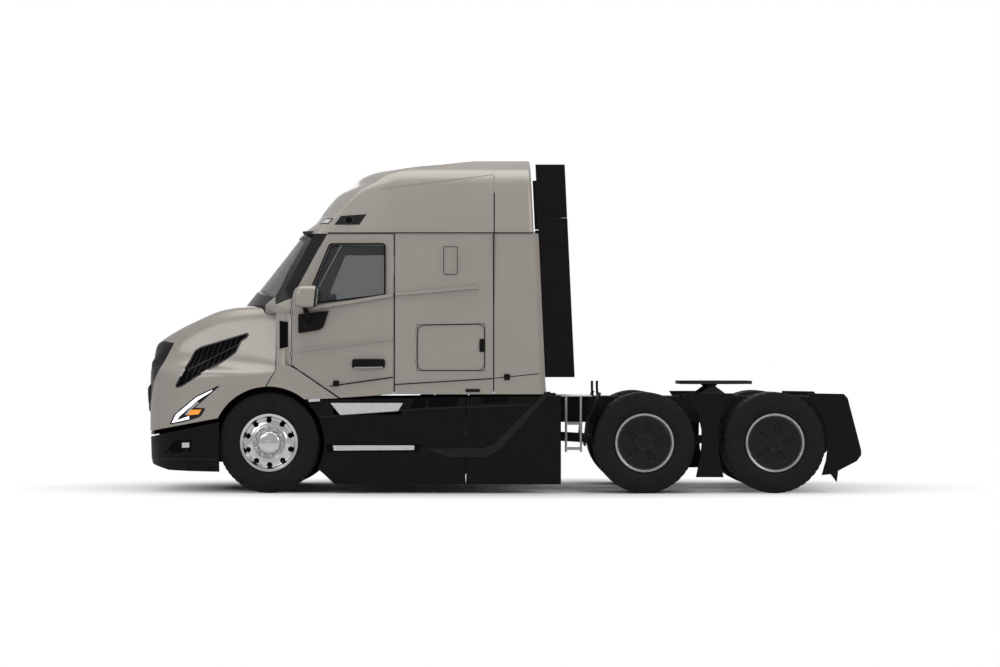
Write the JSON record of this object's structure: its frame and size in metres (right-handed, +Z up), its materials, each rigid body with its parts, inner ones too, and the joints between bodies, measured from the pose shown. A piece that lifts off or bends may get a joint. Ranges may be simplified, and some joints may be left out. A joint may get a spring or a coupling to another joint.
{
  "type": "semi truck tractor unit",
  "caption": "Long-hood highway tractor unit with a high-roof sleeper cab, steered front axle, twin driven rear axles and a tilting fifth wheel.",
  "frame": {"origin": "on the ground, at the centre of the bounding box in length and width", "axes": "+X forward along the frame, +Y to the left, +Z up"},
  "size_m": [7.275, 2.939, 3.425],
  "materials": {
    "body_paint": "warm grey metallic paint",
    "dark_plastic": "moulded charcoal panels",
    "frame_steel": "grey chassis paint",
    "cast_steel": "cast steel",
    "engine_iron": "painted castings",
    "radiator_black": "black core",
    "tank_aluminium": "brushed tank",
    "tread_aluminium": "bright tread plate",
    "lamp_red": "red lamp lens",
    "lamp_clear": "clear lamp",
    "interior_plastic": "dark trim",
    "seat_fabric": "woven fabric",
    "window_glass": "tinted glass",
    "grille_black": "black mesh",
    "mirror_housing": "mirror head and arm",
    "tyre_rubber": "tyre rubber",
    "polished_aluminium": "polished disc",
    "wheel_cover": "dark wheel cover"
  },
  "bodies": {
    "chassis": {"frame_rails": "frame_steel", "crossmembers": "frame_steel", "front_bumper": "dark_plastic", "front_axle": "frame_steel", "front_springs": "frame_steel", "drive_axles": "frame_steel", "rear_suspension": "frame_steel", "engine": "engine_iron", "radiator": "radiator_black", "fuel_tanks": "tank_aluminium", "step_boxes": "dark_plastic", "side_skirts": "dark_plastic", "cab_steps": "tread_aluminium", "deck_plate": "tread_aluminium", "fifth_wheel_bracket": "frame_steel", "middle_fairings": "dark_plastic", "rear_mudguards": "dark_plastic", "tail_lamps": "lamp_red", "cab_floor": "interior_plastic", "cab_front": "body_paint", "windshield": "window_glass", "cowl_sides": "body_paint", "sleeper_sides": "body_paint", "rear_sides": "body_paint", "back_wall": "body_paint", "roof": "body_paint", "side_extenders": "dark_plastic", "dashboard": "interior_plastic", "steering_wheel": "interior_plastic", "seats": "seat_fabric", "bunk": "seat_fabric"},
    "hood": {"hood": "body_paint", "hood_hinges": "frame_steel", "grilles": "grille_black", "headlamps": "lamp_clear"},
    "left_door": {"left_door": "body_paint", "left_door_glass": "window_glass", "left_mirror": "mirror_housing"},
    "right_door": {"right_door": "body_paint", "right_door_glass": "window_glass", "right_mirror": "mirror_housing"},
    "left_luggage_door": {"left_luggage_door": "body_paint"},
    "right_luggage_door": {"right_luggage_door": "body_paint"},
    "left_knuckle": {"left_knuckle": "cast_steel"},
    "right_knuckle": {"right_knuckle": "cast_steel"},
    "tie_rod": {"tie_rod": "cast_steel"},
    "left_front_wheel": {"left_front_tyre": "tyre_rubber", "left_front_wheel": "polished_aluminium"},
    "right_front_wheel": {"right_front_tyre": "tyre_rubber", "right_front_wheel": "polished_aluminium"},
    "forward_left_wheel": {"forward_left_tyres": "tyre_rubber", "forward_left_wheels": "wheel_cover"},
    "forward_right_wheel": {"forward_right_tyres": "tyre_rubber", "forward_right_wheels": "wheel_cover"},
    "rear_left_wheel": {"rear_left_tyres": "tyre_rubber", "rear_left_wheels": "wheel_cover"},
    "rear_right_wheel": {"rear_right_tyres": "tyre_rubber", "rear_right_wheels": "wheel_cover"},
    "fifth_wheel": {"fifth_wheel_plate": "cast_steel"}
  },
  "joints": [
    {"name": "hood_tilt", "type": "hinge", "parent": "chassis", "child": "hood", "pos_m": [3.5525, 0, 0.655], "axis": [0, 1, 0], "range_deg": [0, 70]},
    {"name": "left_door_swing", "type": "hinge", "parent": "chassis", "child": "left_door", "pos_m": [2.1285, 1.168, 1.5], "axis": [0, 0, -1], "range_deg": [0, 68]},
    {"name": "right_door_swing", "type": "hinge", "parent": "chassis", "child": "right_door", "pos_m": [2.1285, -1.168, 1.5], "axis": [0, 0, 1], "range_deg": [0, 68]},
    {"name": "left_luggage_swing", "type": "hinge", "parent": "chassis", "child": "left_luggage_door", "pos_m": [0.8575, 1.201, 1.47], "axis": [0, 0, -1], "range_deg": [0, 90]},
    {"name": "right_luggage_swing", "type": "hinge", "parent": "chassis", "child": "right_luggage_door", "pos_m": [0.8575, -1.201, 1.47], "axis": [0, 0, 1], "range_deg": [0, 90]},
    {"name": "left_steer", "type": "hinge", "parent": "chassis", "child": "left_knuckle", "pos_m": [2.3595, 0.89, 0.513], "axis": [0, 0, 1], "range_deg": [-38, 38]},
    {"name": "right_steer", "type": "hinge", "parent": "chassis", "child": "right_knuckle", "pos_m": [2.3595, -0.89, 0.513], "axis": [0, 0, 1], "range_deg": [-38, 38]},
    {"name": "tie_rod_swing", "type": "hinge", "parent": "left_knuckle", "child": "tie_rod", "pos_m": [2.1795, 0.89, 0.4], "axis": [0, 0, 1], "range_deg": [-38, 38]},
    {"name": "left_front_spin", "type": "hinge", "parent": "left_knuckle", "child": "left_front_wheel", "pos_m": [2.3595, 1.03, 0.513], "axis": [0, 1, 0], "continuous": true},
    {"name": "right_front_spin", "type": "hinge", "parent": "right_knuckle", "child": "right_front_wheel", "pos_m": [2.3595, -1.03, 0.513], "axis": [0, 1, 0], "continuous": true},
    {"name": "forward_left_spin", "type": "hinge", "parent": "chassis", "child": "forward_left_wheel", "pos_m": [-1.4455, 0.912, 0.513], "axis": [0, 1, 0], "continuous": true},
    {"name": "forward_right_spin", "type": "hinge", "parent": "chassis", "child": "forward_right_wheel", "pos_m": [-1.4455, -0.912, 0.513], "axis": [0, 1, 0], "continuous": true},
    {"name": "rear_left_spin", "type": "hinge", "parent": "chassis", "child": "rear_left_wheel", "pos_m": [-2.7655, 0.912, 0.513], "axis": [0, 1, 0], "continuous": true},
    {"name": "rear_right_spin", "type": "hinge", "parent": "chassis", "child": "rear_right_wheel", "pos_m": [-2.7655, -0.912, 0.513], "axis": [0, 1, 0], "continuous": true},
    {"name": "fifth_wheel_tilt", "type": "hinge", "parent": "chassis", "child": "fifth_wheel", "pos_m": [-2.2005, 0, 1.055], "axis": [0, 1, 0], "range_deg": [-12, 12]}
  ],
  "couplings": [
    {"joint": "right_steer", "follows": "left_steer", "ratio": 1},
    {"joint": "tie_rod_swing", "follows": "left_steer", "ratio": -1}
  ]
}
